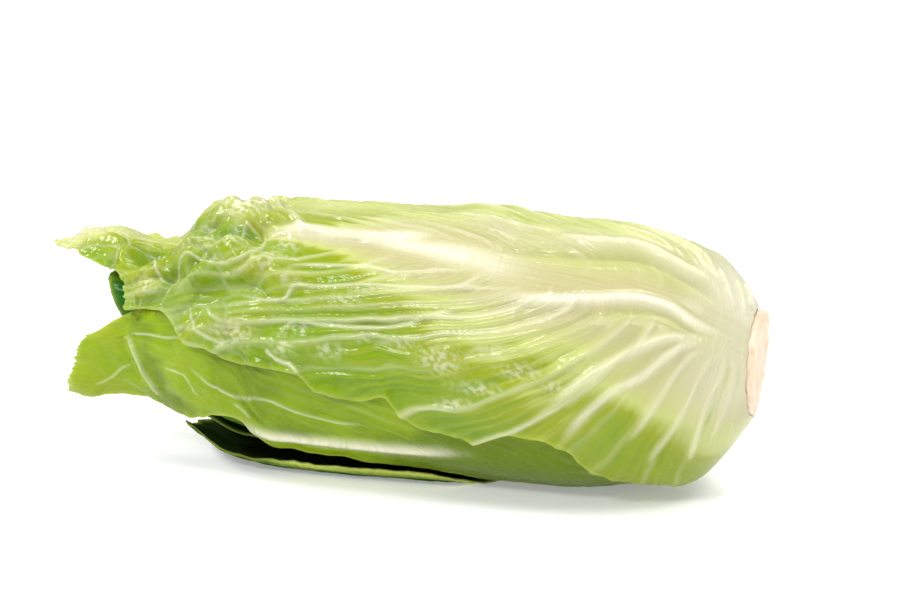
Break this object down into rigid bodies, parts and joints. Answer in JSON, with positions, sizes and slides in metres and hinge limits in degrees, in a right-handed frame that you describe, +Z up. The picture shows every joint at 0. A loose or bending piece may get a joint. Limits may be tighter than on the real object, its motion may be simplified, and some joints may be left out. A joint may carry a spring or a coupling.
{
  "type": "sugarloaf chicory head",
  "caption": "Long rounded head of overlapping salad leaves on a short cut stem, lying on its side on its lowest leaf, with loose leaf tips at one end.",
  "frame": {"origin": "on the surface that the head rests on, below the middle of the head's box", "axes": "+Z up, +X along the head towards its cut stem, -Y towards the side that the front leaf covers"},
  "size_m": [0.286, 0.108, 0.1041],
  "materials": {
    "cut_stem": "dull, damp cut face, cream with a faint pink tinge",
    "front_leaf": "satin leaf, cream rib and fine veins fading into yellow-green",
    "lower_leaf": "satin leaf, mid green with a paler rib strip",
    "floor_leaf": "satin leaf, deep green with a pale toothed edge",
    "top_leaf": "satin leaf, mid green with a cream rib",
    "back_leaf": "satin leaf, mid green with a cream rib",
    "inner_leaves": "satin leaf, light yellow-green",
    "heart_leaves": "satin leaf, pale yellow-green",
    "core_leaves": "satin leaf, cream-yellow",
    "heart_bud": "satin, cream-yellow"
  },
  "bodies": {
    "root": {"stem": "cut_stem", "front_leaf": "front_leaf", "lower_leaf": "lower_leaf", "floor_leaf": "floor_leaf", "top_leaf": "top_leaf", "back_leaf": "back_leaf", "inner_leaf_1": "inner_leaves", "inner_leaf_2": "inner_leaves", "inner_leaf_3": "inner_leaves", "inner_leaf_4": "inner_leaves", "inner_leaf_5": "inner_leaves", "heart_leaf_1": "heart_leaves", "heart_leaf_2": "heart_leaves", "heart_leaf_3": "heart_leaves", "heart_leaf_4": "heart_leaves", "core_leaf_1": "core_leaves", "core_leaf_2": "core_leaves", "core_leaf_3": "core_leaves", "heart_bud": "heart_bud"}
  },
  "joints": []
}
